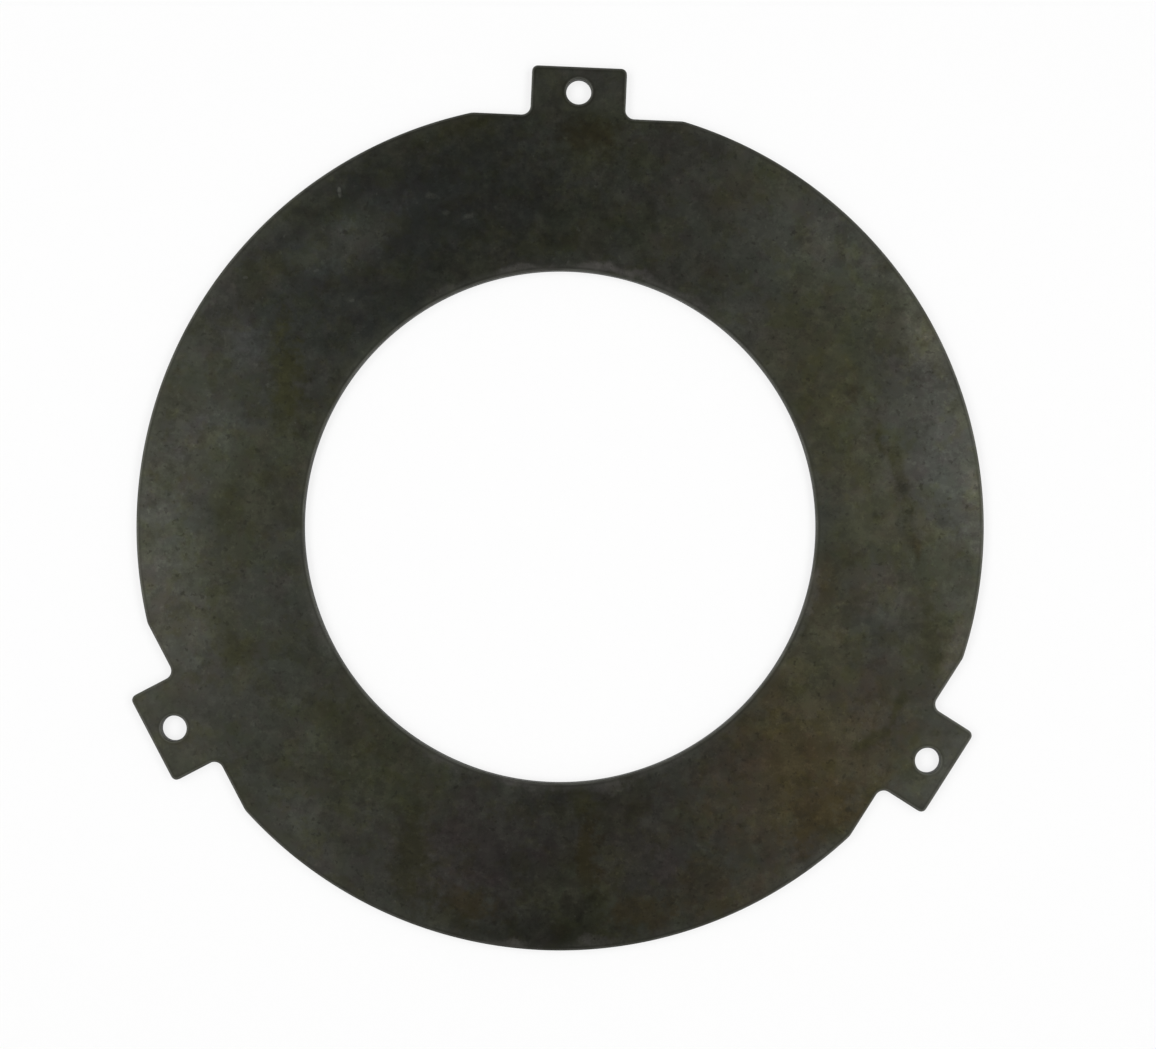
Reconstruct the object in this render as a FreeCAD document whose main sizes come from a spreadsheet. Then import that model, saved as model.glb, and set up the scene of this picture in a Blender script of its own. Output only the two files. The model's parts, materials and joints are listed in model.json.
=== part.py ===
# Steel separator disc of a multi-plate clutch, blanked from one sheet and lying face up.
# The origin is the centre of the bore at half thickness, +Z is the bore's axis and the
# first lug points along +Y. All lengths are millimetres.
import FreeCAD, Part
import enum
import math
import os
import Sketcher

PARTS_FOLDER = "parts"
NODE_NAME = "separator_disc"

# Every size that can be set by itself: alias, value, what it measures.
SIZES = (
    ("rim_diameter", 228.6, "outside diameter of the ring, 9 in"),
    ("bore_diameter", 138.1, "inside diameter of the ring, 5 7/16 in"),
    ("plate_thickness", 3.175, "sheet thickness, 1/8 in"),
    ("lug_count", 3, "drive lugs round the rim"),
    ("lug_width", 25.7, "width of one lug"),
    ("lug_reach", 9.85, "how far a lug stands out past the rim circle"),
    ("flat_depth", 3.6, "how far the flat at a lug's foot lies inside the rim circle"),
    ("root_radius", 2.4, "inside fillet where a lug meets its flat, 3/32 in"),
    ("corner_radius", 1.6, "outside rounding at a lug's two corners, 1/16 in"),
    ("shoulder_radius", 5.0, "rounding where a flat runs out into the rim"),
    ("hole_diameter", 6.75, "hole in each lug, 17/64 in"),
    ("hole_inset", 6.7, "from a lug's tip in to its hole's centre"),
    ("die_roll_radius", 0.5, "rounding that the punch leaves on the upper edges"),
    ("edge_break", 0.2, "chamfer left by deburring the lower edges"),
)

# Distances from the bore's centre out along the first lug, as formulas of the sheet.
FLAT_HEIGHT = "Sizes.rim_diameter / 2 - Sizes.flat_depth"
LUG_FOOT = "Sizes.rim_diameter / 2 - Sizes.flat_depth - Sizes.root_radius"
LUG_TIP = "Sizes.rim_diameter / 2 + Sizes.lug_reach"
HOLE_HEIGHT = "Sizes.rim_diameter / 2 + Sizes.lug_reach - Sizes.hole_inset"

# Two places are the same when they are closer than this.
SAME_PLACE = 0.01


class Spot(enum.IntEnum):
    """The numbers, from 1 up, by which a sketch knows the points of a curve."""

    START = enum.auto()
    END = enum.auto()
    CENTRE = enum.auto()


# How a sketch refers to its own origin and to its vertical axis.
ORIGIN = (-1, Spot.START)
Y_AXIS = -2


def make_sizes(doc):
    """The sheet of driving dimensions: name, value and meaning, one row for each size."""
    sheet = doc.addObject("Spreadsheet::Sheet", "Sizes")
    for row, (alias, value, meaning) in enumerate(SIZES, start=1):
        sheet.set(f"A{row}", alias)
        sheet.set(f"B{row}", str(value))
        sheet.set(f"C{row}", meaning)
        sheet.setAlias(f"B{row}", alias)
    doc.recompute()
    return sheet


def origin_feature(body, role):
    """The plane or axis that has this role in the body's own origin."""
    return next(item for item in body.Origin.OriginFeatures if item.Role == role)


def new_sketch(body, name):
    """An empty sketch in the body's XY plane, halfway up the plate's thickness."""
    sketch = body.newObject("Sketcher::SketchObject", name)
    sketch.AttachmentSupport = [(origin_feature(body, "XY_Plane"), "")]
    sketch.MapMode = "FlatFace"
    return sketch


def dimension(sketch, name, formula, kind, *where):
    """Adds a named dimension whose value is a formula of the sheet."""
    value = sketch.evalExpression(formula)
    index = sketch.addConstraint(Sketcher.Constraint(kind, *where, float(value)))
    sketch.renameConstraint(index, name)
    sketch.setExpression(f"Constraints.{name}", formula)


def draw_circle(sketch, name, diameter, height=None):
    """A circle of the given diameter at the origin, or up the Y axis at the given height."""
    rise = float(sketch.evalExpression(height)) if height else 0.0
    radius = float(sketch.evalExpression(diameter)) / 2
    middle = FreeCAD.Vector(0, rise, 0)
    circle = sketch.addGeometry(Part.Circle(middle, FreeCAD.Vector(0, 0, 1), radius), False)
    if height:
        sketch.addConstraint(Sketcher.Constraint("PointOnObject", circle, Spot.CENTRE, Y_AXIS))
        dimension(sketch, f"{name}_height", height, "DistanceY", *ORIGIN, circle, Spot.CENTRE)
    else:
        sketch.addConstraint(Sketcher.Constraint("Coincident", circle, Spot.CENTRE, *ORIGIN))
    dimension(sketch, f"{name}_diameter", diameter, "Diameter", circle)


def draw_rectangle(sketch, name, width, near, far):
    """A rectangle astride the Y axis, of the given width, from the height near to far."""
    half = float(sketch.evalExpression(width)) / 2
    low = float(sketch.evalExpression(near))
    high = float(sketch.evalExpression(far))
    corners = [
        FreeCAD.Vector(-half, low, 0),
        FreeCAD.Vector(half, low, 0),
        FreeCAD.Vector(half, high, 0),
        FreeCAD.Vector(-half, high, 0),
    ]
    foot, right, head, left = [
        sketch.addGeometry(Part.LineSegment(start, corners[(i + 1) % 4]), False)
        for i, start in enumerate(corners)
    ]
    for line, following in ((foot, right), (right, head), (head, left), (left, foot)):
        ends = (line, Spot.END, following, Spot.START)
        sketch.addConstraint(Sketcher.Constraint("Coincident", *ends))
    for side in (right, left):
        sketch.addConstraint(Sketcher.Constraint("Vertical", side))
    sketch.addConstraint(Sketcher.Constraint("Horizontal", head))
    foot_ends = (foot, Spot.START, foot, Spot.END)
    sketch.addConstraint(Sketcher.Constraint("Symmetric", *foot_ends, Y_AXIS))
    dimension(sketch, f"{name}_width", width, "DistanceX", *foot_ends)
    dimension(sketch, f"{name}_near", near, "DistanceY", *ORIGIN, foot, Spot.START)
    dimension(sketch, f"{name}_far", far, "DistanceY", *ORIGIN, head, Spot.START)


def pad(body, name, sketch):
    """Raises a sketch to the sheet's thickness, half of it each way."""
    feature = body.newObject("PartDesign::Pad", name)
    feature.Profile = sketch
    feature.SideType = "Symmetric"
    feature.setExpression("Length", "Sizes.plate_thickness")
    body.Document.recompute()
    return feature


def cut_through(body, name, sketch):
    """Cuts a sketch through the whole plate, both ways from its middle plane."""
    uncut = body.Tip.Shape.Volume
    feature = body.newObject("PartDesign::Pocket", name)
    feature.Profile = sketch
    feature.SideType = "Symmetric"
    feature.Type = "ThroughAll"
    body.Document.recompute()
    if feature.Shape.Volume >= uncut:
        raise RuntimeError(f"{name} cuts nothing away")
    return feature


def make_ring(body):
    """The plain ring between the rim circle and the bore."""
    sketch = new_sketch(body, "ring_profile")
    draw_circle(sketch, "rim", "Sizes.rim_diameter")
    draw_circle(sketch, "bore", "Sizes.bore_diameter")
    return pad(body, "ring", sketch)


def make_flat(body):
    """The flat at a lug's foot, where the rim is cut back along a chord."""
    sketch = new_sketch(body, "flat_profile")
    draw_rectangle(sketch, "flat", "Sizes.rim_diameter", FLAT_HEIGHT, LUG_TIP)
    return cut_through(body, "flat", sketch)


def make_lug(body):
    """One drive lug, with its foot sunk into the ring."""
    sketch = new_sketch(body, "lug_profile")
    draw_rectangle(sketch, "lug", "Sizes.lug_width", LUG_FOOT, LUG_TIP)
    return pad(body, "lug", sketch)


def make_hole(body):
    """The pin hole near the lug's tip."""
    sketch = new_sketch(body, "hole_profile")
    draw_circle(sketch, "hole", "Sizes.hole_diameter", HOLE_HEIGHT)
    return cut_through(body, "hole", sketch)


def repeat_round_bore(body, name, features):
    """Repeats the lug's features round the bore, evenly spaced."""
    pattern = body.newObject("PartDesign::PolarPattern", name)
    pattern.Originals = features
    pattern.Axis = (origin_feature(body, "Z_Axis"), [""])
    pattern.Angle = 360
    pattern.setExpression("Occurrences", "Sizes.lug_count")
    body.Tip = pattern
    body.Document.recompute()
    return pattern


def upright_edges_at(shape, across, height, count):
    """Names of the upright edges that stand at (+-across, height), turned to every lug."""
    places = []
    for number in range(count):
        turn = FreeCAD.Rotation(FreeCAD.Vector(0, 0, 1), 360 * number / count)
        for side in (-across, across):
            places.append(turn.multVec(FreeCAD.Vector(side, height, 0)))
    names = []
    for number, edge in enumerate(shape.Edges, start=1):
        ends = [vertex.Point for vertex in edge.Vertexes]
        if len(ends) != 2 or abs(ends[0].z - ends[1].z) < SAME_PLACE:
            continue
        middle = FreeCAD.Vector(ends[0].x, ends[0].y, 0)
        if any((middle - place).Length < SAME_PLACE for place in places):
            names.append(f"Edge{number}")
    return names


def edges_at_level(shape, level):
    """Names of the edges that lie wholly at one height."""
    names = []
    for number, edge in enumerate(shape.Edges, start=1):
        box = edge.BoundBox
        if abs(box.ZMin - level) < SAME_PLACE and abs(box.ZMax - level) < SAME_PLACE:
            names.append(f"Edge{number}")
    return names


def dress_edges(body, kind, name, base, edges, size_name, alias):
    """Fillets or chamfers the named edges of a feature by a size of the sheet."""
    if not edges:
        raise RuntimeError(f"{name} found no edges")
    feature = body.newObject(kind, name)
    feature.Base = (base, edges)
    feature.setExpression(size_name, f"Sizes.{alias}")
    body.Document.recompute()
    return feature


def round_outline(body, sheet, base):
    """Rounds the outline in plan: lug roots, lug corners and the ends of the flats."""
    rim = sheet.rim_diameter / 2
    flat = rim - sheet.flat_depth
    half_lug = sheet.lug_width / 2
    half_chord = math.sqrt(rim**2 - flat**2)
    places = (
        ("root_fillets", "root_radius", half_lug, flat),
        ("corner_rounds", "corner_radius", half_lug, rim + sheet.lug_reach),
        ("shoulder_rounds", "shoulder_radius", half_chord, flat),
    )
    for name, alias, across, height in places:
        edges = upright_edges_at(base.Shape, across, height, int(sheet.lug_count))
        base = dress_edges(body, "PartDesign::Fillet", name, base, edges, "Radius", alias)
    return base


def finish_edges(body, sheet, base):
    """The die roll on every upper edge and the deburred break on every lower one."""
    face = sheet.plate_thickness / 2
    upper = edges_at_level(base.Shape, face)
    size = ("Radius", "die_roll_radius")
    base = dress_edges(body, "PartDesign::Fillet", "die_rolls", base, upper, *size)
    lower = edges_at_level(base.Shape, -face)
    size = ("Size", "edge_break")
    return dress_edges(body, "PartDesign::Chamfer", "edge_breaks", base, lower, *size)


def make_disc(doc, sheet):
    """The whole disc: ring, lugs repeated round it, then its rounded and broken edges."""
    body = doc.addObject("PartDesign::Body", NODE_NAME)
    body.Label = NODE_NAME
    body.Placement = FreeCAD.Placement(FreeCAD.Vector(0, 0, 0), FreeCAD.Rotation())
    make_ring(body)
    lug_features = [make_flat(body), make_lug(body), make_hole(body)]
    pattern = repeat_round_bore(body, "lugs_round_bore", lug_features)
    rounded = round_outline(body, sheet, pattern)
    finish_edges(body, sheet, rounded)
    return body


def check(doc, bodies):
    """Stops the build if any feature failed or a body isn't one sound solid."""
    for item in doc.Objects:
        if "Invalid" in item.State or "Error" in item.State:
            raise RuntimeError(f"{item.Label} failed: {item.State}")
    for body in bodies:
        if body.Shape.isNull() or not body.Shape.isValid() or len(body.Shape.Solids) != 1:
            raise RuntimeError(f"{body.Label} is not one sound solid")


def main():
    """Builds the disc and writes it as a STEP file."""
    doc = FreeCAD.newDocument("separator")
    sheet = make_sizes(doc)
    bodies = [make_disc(doc, sheet)]
    doc.recompute()
    check(doc, bodies)
    os.makedirs(PARTS_FOLDER, exist_ok=True)
    for body in bodies:
        body.Shape.exportStep(os.path.join(PARTS_FOLDER, f"{body.Label}.step"))
        box = body.Shape.optimalBoundingBox(False)
        print(f"{body.Label}: {box.XLength:.3f} x {box.YLength:.3f} x {box.ZLength:.3f} mm,")
        print(f"  volume {body.Shape.Volume:.1f} mm3, {len(body.Shape.Faces)} faces")


main()
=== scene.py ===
"""A clutch's steel separator disc, lying face up on a white table and seen from straight above."""

import json
import logging
import math
from collections.abc import Mapping
from dataclasses import dataclass
from enum import Enum

import bpy
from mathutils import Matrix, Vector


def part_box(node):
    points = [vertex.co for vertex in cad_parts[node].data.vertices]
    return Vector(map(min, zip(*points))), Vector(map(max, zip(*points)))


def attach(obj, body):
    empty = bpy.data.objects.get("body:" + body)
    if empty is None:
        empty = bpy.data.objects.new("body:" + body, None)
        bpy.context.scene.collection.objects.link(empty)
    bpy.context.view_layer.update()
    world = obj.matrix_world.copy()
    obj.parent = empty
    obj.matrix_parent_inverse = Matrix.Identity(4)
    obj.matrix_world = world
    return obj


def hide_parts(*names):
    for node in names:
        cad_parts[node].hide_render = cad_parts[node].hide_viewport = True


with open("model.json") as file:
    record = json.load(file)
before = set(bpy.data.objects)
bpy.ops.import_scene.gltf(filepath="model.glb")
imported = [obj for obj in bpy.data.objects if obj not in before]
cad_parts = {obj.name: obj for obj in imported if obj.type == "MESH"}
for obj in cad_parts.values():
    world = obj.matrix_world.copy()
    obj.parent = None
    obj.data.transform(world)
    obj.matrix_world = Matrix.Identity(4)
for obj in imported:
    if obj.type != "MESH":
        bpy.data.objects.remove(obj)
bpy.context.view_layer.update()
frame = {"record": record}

log = logging.getLogger("separator_disc")

MM = 0.001
# width of the photograph in pixels, and how much of the plate each pixel covers
PHOTO_WIDTH = 1156
MM_PER_PIXEL = 0.26955
CAD_NODE = "separator_disc"
EDGE_INSET = "edge_inset"

FLOAT = "NodeSocketFloat"
COUNT = "NodeSocketInt"
GEOMETRY = "NodeSocketGeometry"
MATERIAL = "NodeSocketMaterial"

OUTLINE_SIZES = {
    "Lug Count": COUNT, "Rim Radius": FLOAT, "Lug Tip": FLOAT, "Half Lug Width": FLOAT,
    "Flat Height": FLOAT, "Root Radius": FLOAT, "Corner Radius": FLOAT, "Shoulder Radius": FLOAT,
    "Point Spacing": FLOAT,
}
EDGE_SIZES = {
    "Half Thickness": FLOAT, "Die Roll": FLOAT, "Burnished Land": FLOAT, "Fracture Taper": FLOAT,
    "Edge Break": FLOAT, "Apron": FLOAT,
}

Tree = bpy.types.NodeTree
Socket = bpy.types.NodeSocket


def linear_colour(colour: str) -> tuple[float, float, float, float]:
    """Turn an sRGB hex colour into linear light.

    Args:
        colour: the colour as "#RRGGBB".

    Returns:
        Red, green, blue and an alpha of 1.
    """
    shares = [int(colour[start:start + 2], 16) / 255 for start in (1, 3, 5)]
    linear = [share / 12.92 if share <= 0.04045 else ((share + 0.055) / 1.055) ** 2.4 for share in shares]
    return (linear[0], linear[1], linear[2], 1.0)


def add_node(
    tree: Tree,
    kind: str,
    inputs: Mapping[int | str, object] | None = None,
    output: int | str = 0,
    **settings: object,
) -> Socket:
    """Add a node with its settings, values and links.

    Args:
        tree: the tree that gets the node.
        kind: Blender's type name of the node.
        inputs: for an input's name or number, what feeds it: another node's output, a list of
            outputs where the input takes several, or a plain value.
        output: name or number of the output that is wanted.
        **settings: the node's own properties.

    Returns:
        The wanted output. Its node is reached through it.
    """
    node = tree.nodes.new(kind)
    for name, value in settings.items():
        setattr(node, name, value)
    for key, value in (inputs or {}).items():
        socket = node.inputs[key]
        if isinstance(value, Socket):
            tree.links.new(value, socket)
        elif isinstance(value, list):
            for source in value:
                tree.links.new(source, socket)
        else:
            socket.default_value = value
    return node.outputs[output]


def start_tree(name: str, sizes: Mapping[str, str]) -> tuple[Tree, dict[str, Socket], Socket]:
    """Start a Geometry Nodes tree with named inputs and one geometry output.

    Args:
        name: name of the tree.
        sizes: each input's name and socket type.

    Returns:
        The tree, the socket that brings in each named input, and the socket that takes the result.
    """
    tree = bpy.data.node_groups.new(name, "GeometryNodeTree")
    for label, kind in sizes.items():
        tree.interface.new_socket(label, in_out="INPUT", socket_type=kind)
    tree.interface.new_socket("Geometry", in_out="OUTPUT", socket_type=GEOMETRY)
    entry = tree.nodes.new("NodeGroupInput")
    result = tree.nodes.new("NodeGroupOutput").inputs["Geometry"]
    return tree, {label: entry.outputs[label] for label in sizes}, result


class Tone(Enum):
    """Colours that oxide, oil, heat and rubbing leave on mild steel; a few also paint sheen, a highlight or
    a shade line.
    """

    SCALE = "#33342E"
    BLUED = "#222422"
    HEAT = "#312C2B"
    FADED_HEAT = "#474341"
    BARE_GREY = "#434544"
    DRIED_OIL = "#2B2B19"
    OLIVE_DUST = "#3D3D2D"
    VARNISH = "#2A2214"
    LIGHT_RUST = "#3F3728"
    RUBBED = "#454640"
    # partly worn bright metal, partly painted sheen at the left and the right of the outer band
    WORN_BRIGHT = "#565751"
    # painted highlight: the die roll along every edge, pale as where it catches the lamps
    ROLLED_EDGE = "#5E5F59"
    CLEAN_GREY = "#474542"
    DARK_HEAT = "#252221"
    RUST_STAIN = "#362F1C"
    # also the painted shade line just inside every edge
    GRIME = "#1B1A15"
    # the films are pale because they only tint or pale what lies under them
    OLIVE_FILM = "#FAFAD4"
    PURPLE_FILM = "#FFF2FA"
    GREEN_FILM = "#F0FFF6"
    POLISH = "#F2F2F0"


class Lie(Enum):
    """How a film lies on the metal: it hides what is under it, only tints it, or pales it."""

    HIDING = "MIX"
    TINTING = "MULTIPLY"
    PALING = "OVERLAY"


@dataclass(frozen=True)
class Film:
    """One patchy film, mottle or fleck that covers the whole plate.

    Attributes:
        tone: its colour.
        size: size of its largest patches, in millimetres.
        start: noise value from which it shows, from 0 to 1.
        full: noise value from which it is at its strongest.
        strength: share of the colour where it is strongest.
        lie: how it lies on the metal.
        roughness: share of the small detail in its patches.
    """

    tone: Tone
    size: float
    start: float
    full: float
    strength: float
    lie: Lie = Lie.HIDING
    roughness: float = 0.65


CLOUDS = (
    Film(Tone.OLIVE_FILM, size=34, start=0.44, full=0.6, strength=0.55, lie=Lie.TINTING),
    Film(Tone.PURPLE_FILM, size=26, start=0.46, full=0.6, strength=0.34, lie=Lie.TINTING),
    Film(Tone.GREEN_FILM, size=11, start=0.48, full=0.6, strength=0.3, lie=Lie.TINTING),
    Film(Tone.OLIVE_FILM, size=8, start=0.5, full=0.6, strength=0.5, lie=Lie.TINTING),
    Film(Tone.PURPLE_FILM, size=6, start=0.5, full=0.6, strength=0.5, lie=Lie.TINTING),
)

# the real grain is near 0.1 mm and would not show, so the flecks are drawn coarser
MOTTLES = (
    Film(Tone.GRIME, size=8, start=0.5, full=0.62, strength=0.25, roughness=0.85),
    Film(Tone.POLISH, size=8, start=0.48, full=0.62, strength=0.27, lie=Lie.PALING, roughness=0.85),
    Film(Tone.GRIME, size=4.5, start=0.54, full=0.57, strength=0.12),
    Film(Tone.POLISH, size=5.5, start=0.53, full=0.56, strength=0.14, lie=Lie.PALING),
    Film(Tone.GRIME, size=1.8, start=0.62, full=0.68, strength=0.4, roughness=0.5),
    Film(Tone.POLISH, size=1.7, start=0.63, full=0.7, strength=0.3, lie=Lie.PALING, roughness=0.5),
    Film(Tone.WORN_BRIGHT, size=2.4, start=0.72, full=0.77, strength=0.18, roughness=0.4),
)


@dataclass(frozen=True)
class Stain:
    """One soft-edged patch on the upper face.

    Attributes:
        tone: its colour.
        angle: where it lies round the ring, in degrees counter-clockwise from +X.
        radius: how far it lies from the centre, in millimetres.
        along: half its length round the ring, in millimetres.
        across: half its width from bore to rim, in millimetres.
        strength: share of the colour at the middle of the patch.
        slant: turn of its long side away from the ring's direction, in degrees.
    """

    tone: Tone
    angle: float
    radius: float
    along: float
    across: float
    strength: float
    slant: float = 0.0


@dataclass(frozen=True)
class StainEdge:
    """How stains end.

    Attributes:
        outside: where a stain has faded out, as a share of its own size.
        inside: where it is full, as a share of its own size.
        ragged: how far small noise breaks it up, as a share of its own size.
    """

    outside: float
    inside: float
    ragged: float


# broad tones fade out slowly, and blotches break up into spots
FADING = StainEdge(outside=1.0, inside=0.1, ragged=0.8)
BROKEN = StainEdge(outside=1.0, inside=0.2, ragged=1.7)

# a stain's place is its angle round the ring, then its radius
TONES = (
    # metal rubbed grey and bright, mostly in the outer band; at the left and the right these patches are
    # partly real wear and partly painted sheen of the soft boxes
    Stain(Tone.RUBBED, 10, 98, along=58, across=34, strength=0.43),
    Stain(Tone.WORN_BRIGHT, 14, 108, along=40, across=12, strength=0.3),
    Stain(Tone.WORN_BRIGHT, 31, 112, along=17, across=9, strength=0.65),
    Stain(Tone.WORN_BRIGHT, 4, 113, along=18, across=6, strength=0.35),
    Stain(Tone.CLEAN_GREY, 345, 112.5, along=20, across=8, strength=0.7),
    Stain(Tone.RUBBED, 330, 122, along=18, across=9, strength=0.45),
    Stain(Tone.RUBBED, 106, 90, along=10, across=8, strength=0.3),
    Stain(Tone.RUBBED, 50, 104, along=46, across=24, strength=0.6),
    Stain(Tone.RUBBED, 46, 76, along=28, across=13, strength=0.4),
    Stain(Tone.RUBBED, 190, 108, along=46, across=16, strength=0.65),
    Stain(Tone.RUBBED, 234, 109, along=20, across=12, strength=0.35),
    # blue-black scale over the upper left
    Stain(Tone.BLUED, 116, 94, along=70, across=46, strength=0.9),
    Stain(Tone.BLUED, 146, 92, along=44, across=34, strength=0.5),
    Stain(Tone.BLUED, 88, 80, along=30, across=18, strength=0.4),
    # bare grey patches at the left and the right
    Stain(Tone.BARE_GREY, 128.5, 96, along=24, across=10, strength=0.55, slant=-7),
    Stain(Tone.BARE_GREY, 166, 99, along=26, across=15, strength=0.3),
    Stain(Tone.BARE_GREY, 10, 103, along=26, across=9, strength=0.2),
    Stain(Tone.BARE_GREY, 153, 98, along=12, across=9, strength=0.45),
    Stain(Tone.BARE_GREY, 196, 100, along=28, across=8, strength=0.45),
    Stain(Tone.BARE_GREY, 169, 95, along=14, across=10, strength=0.35),
    # heat tint at the bottom and the right, and grime along the lower rim
    Stain(Tone.HEAT, 256, 92, along=30, across=22, strength=0.7),
    Stain(Tone.HEAT, 287, 92, along=24, across=22, strength=0.6),
    Stain(Tone.FADED_HEAT, 351, 85, along=15, across=12, strength=0.25),
    Stain(Tone.HEAT, 358, 90, along=14, across=9, strength=0.3),
    Stain(Tone.DARK_HEAT, 267, 91, along=18, across=14, strength=0.55),
    Stain(Tone.GRIME, 270, 112, along=44, across=16, strength=0.65),
    Stain(Tone.DARK_HEAT, 280, 75, along=36, across=14, strength=0.5),
    # blue-black scale beside the bore
    Stain(Tone.BLUED, 126, 74, along=24, across=12, strength=0.8),
    # light rust over the lower right
    Stain(Tone.LIGHT_RUST, 318, 92, along=46, across=36, strength=0.75),
    Stain(Tone.LIGHT_RUST, 329, 74, along=13, across=9, strength=0.6),
    Stain(Tone.LIGHT_RUST, 346, 72, along=18, across=7, strength=0.5),
    Stain(Tone.LIGHT_RUST, 298, 110, along=22, across=8, strength=0.4),
    # olive dust between the bore and the outer band
    Stain(Tone.OLIVE_DUST, 20, 80, along=44, across=16, strength=0.7),
    Stain(Tone.OLIVE_DUST, 336, 78, along=24, across=14, strength=0.9),
    Stain(Tone.OLIVE_DUST, 228, 84, along=34, across=22, strength=0.3),
    Stain(Tone.OLIVE_DUST, 327, 93, along=10, across=9, strength=0.35),
    # dried oil near the rim, and scale left on the lug at the left
    Stain(Tone.DRIED_OIL, 223, 113, along=13, across=6, strength=0.5),
    Stain(Tone.DRIED_OIL, 143, 104, along=12, across=8, strength=0.45),
    Stain(Tone.DRIED_OIL, 107, 112, along=18, across=6, strength=0.45),
    Stain(Tone.SCALE, 210, 118, along=18, across=11, strength=0.9),
)

BLOTCHES = (
    # blotches of dried oil and varnish
    Stain(Tone.DRIED_OIL, 153.7, 84.5, along=19, across=6.5, strength=0.85, slant=30),
    Stain(Tone.DRIED_OIL, 179, 89, along=10, across=7, strength=0.4),
    Stain(Tone.DRIED_OIL, 203.5, 93, along=10, across=7, strength=0.55),
    Stain(Tone.DRIED_OIL, 248.5, 97.5, along=20, across=7.5, strength=0.65, slant=-67),
    Stain(Tone.DRIED_OIL, 226, 80, along=16, across=6, strength=0.35),
    Stain(Tone.DRIED_OIL, 88.5, 104, along=13, across=10, strength=0.35),
    Stain(Tone.VARNISH, 89, 105.5, along=11, across=7, strength=0.35),
    Stain(Tone.VARNISH, 62.5, 80.5, along=7, across=5, strength=0.25),
    # rust-brown spots round the bottom and the lower right
    Stain(Tone.RUST_STAIN, 314.5, 104, along=15, across=9, strength=0.75),
    Stain(Tone.RUST_STAIN, 294, 103, along=15, across=9, strength=0.35),
    Stain(Tone.RUST_STAIN, 284.5, 106, along=12, across=6, strength=0.5),
    Stain(Tone.RUST_STAIN, 258.5, 105, along=11, across=7, strength=0.55),
    Stain(Tone.DRIED_OIL, 257.3, 110.3, along=13, across=4, strength=0.4),
    Stain(Tone.HEAT, 335.4, 76.5, along=13, across=9, strength=0.25),
    # metal rubbed clean along the bore and the rim
    Stain(Tone.CLEAN_GREY, 66, 69.5, along=14, across=3.2, strength=0.85),
    Stain(Tone.CLEAN_GREY, 83, 69.3, along=14, across=2.3, strength=1.0),
    Stain(Tone.CLEAN_GREY, 99, 69.3, along=14, across=2.3, strength=0.8),
    Stain(Tone.CLEAN_GREY, 115, 69.5, along=13, across=2.4, strength=0.3),
    Stain(Tone.CLEAN_GREY, 205, 69.5, along=13, across=3, strength=0.35),
    Stain(Tone.CLEAN_GREY, 247, 69.5, along=14, across=3.2, strength=0.65),
    Stain(Tone.CLEAN_GREY, 263, 69.5, along=14, across=3.4, strength=1.0),
    Stain(Tone.CLEAN_GREY, 280, 69.5, along=14, across=3, strength=0.6),
    Stain(Tone.CLEAN_GREY, 296, 69.5, along=14, across=3, strength=0.4),
    Stain(Tone.CLEAN_GREY, 345, 69.5, along=13, across=3, strength=0.5),
    Stain(Tone.CLEAN_GREY, 264, 114, along=15, across=2.8, strength=0.65),
    Stain(Tone.CLEAN_GREY, 278, 114, along=13, across=2.6, strength=0.5),
    Stain(Tone.RUBBED, 308, 113.5, along=14, across=3, strength=0.5),
    Stain(Tone.RUBBED, 252, 113, along=13, across=4, strength=0.3),
    Stain(Tone.RUBBED, 70, 113, along=14, across=4, strength=0.3),
    # the run that oil left from rim to bore
    Stain(Tone.DRIED_OIL, 276.9, 76.5, along=7, across=6.5, strength=0.65, slant=90),
    Stain(Tone.VARNISH, 277.6, 88.5, along=15, across=4.2, strength=0.7, slant=90),
    Stain(Tone.DRIED_OIL, 277.4, 93, along=24, across=3.2, strength=0.4, slant=90),
    Stain(Tone.GRIME, 275, 102.5, along=9, across=5, strength=0.5),
    # the tide line down the right side, with the darker spots along it
    Stain(Tone.DRIED_OIL, 13.7, 91.3, along=16, across=3.4, strength=0.4, slant=8),
    Stain(Tone.DRIED_OIL, 1.4, 94.2, along=14, across=3.2, strength=0.45, slant=14),
    Stain(Tone.DRIED_OIL, -14.1, 104, along=20, across=3.6, strength=0.6, slant=20),
    Stain(Tone.DRIED_OIL, -31.3, 100.6, along=9, across=2.3, strength=0.6, slant=-19),
    Stain(Tone.DRIED_OIL, -25.5, 102.8, along=8, across=2.1, strength=0.7, slant=-4),
    Stain(Tone.DRIED_OIL, 17, 89.5, along=5, across=1.5, strength=0.6, slant=-19),
    Stain(Tone.DRIED_OIL, 13.7, 90.2, along=2.4, across=1.9, strength=0.6),
    Stain(Tone.GRIME, 9.9, 91.7, along=3.4, across=2.2, strength=0.5, slant=24),
    Stain(Tone.GRIME, 4.2, 85.4, along=2.8, across=1.3, strength=0.4),
    Stain(Tone.GRIME, 3.5, 93.1, along=3, across=1.5, strength=0.4),
    Stain(Tone.VARNISH, 26.3, 86.2, along=4, across=2.6, strength=0.4),
    Stain(Tone.VARNISH, -0.7, 96.2, along=6, across=2.4, strength=0.4, slant=14),
    # short scratches at the upper left
    Stain(Tone.WORN_BRIGHT, 125.9, 108.5, along=2.4, across=0.7, strength=0.45, slant=65),
    Stain(Tone.RUBBED, 113.4, 94.7, along=2.0, across=1.2, strength=0.4),
    Stain(Tone.RUBBED, 108.5, 86.5, along=2.0, across=1.4, strength=0.4),
    Stain(Tone.RUBBED, 112.4, 89.8, along=1.8, across=1.1, strength=0.4),
)


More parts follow.
